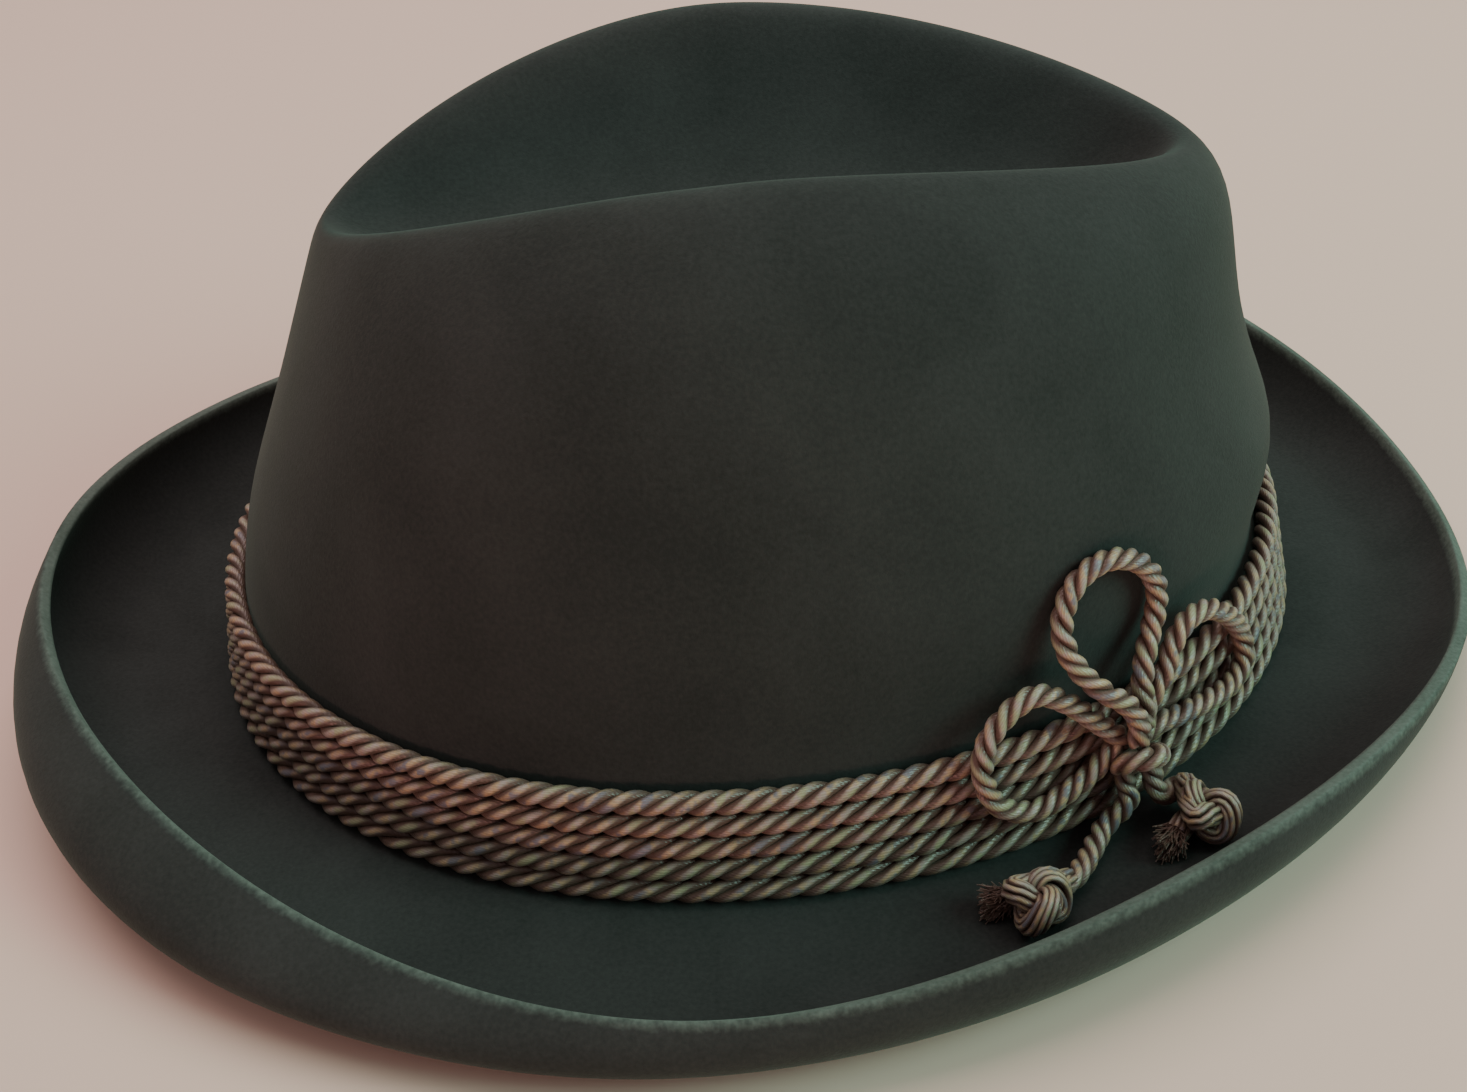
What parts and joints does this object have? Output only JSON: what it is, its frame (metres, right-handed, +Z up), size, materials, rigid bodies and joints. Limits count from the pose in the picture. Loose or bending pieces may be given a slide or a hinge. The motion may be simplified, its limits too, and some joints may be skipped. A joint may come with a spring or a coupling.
{
  "type": "tyrolean hat",
  "caption": "Felt hat with a creased oval crown and a curled-up brim in one felt piece, a band of twisted cord rows round the crown and a cord bow with knotted ends.",
  "frame": {"origin": "on the surface that the hat stands on, under the middle of its brim", "axes": "+Z up out of the crown; +X along the hat's long way, towards the narrow end of the crease, which is the front; the bow is on the -Y side"},
  "size_m": [0.2806, 0.2496, 0.1048],
  "materials": {
    "felt": "dark green short-nap felt, matt with a soft sheen",
    "cord": "three-ply twisted rayon cord, silky beige"
  },
  "bodies": {
    "root": {"felt_body": "felt", "band_cord_1": "cord", "band_cord_2": "cord", "band_cord_3": "cord", "band_cord_4": "cord", "band_cord_5": "cord", "bow": "cord", "left_tail": "cord", "left_end_knot": "cord", "right_tail": "cord", "right_end_knot": "cord"}
  },
  "joints": []
}
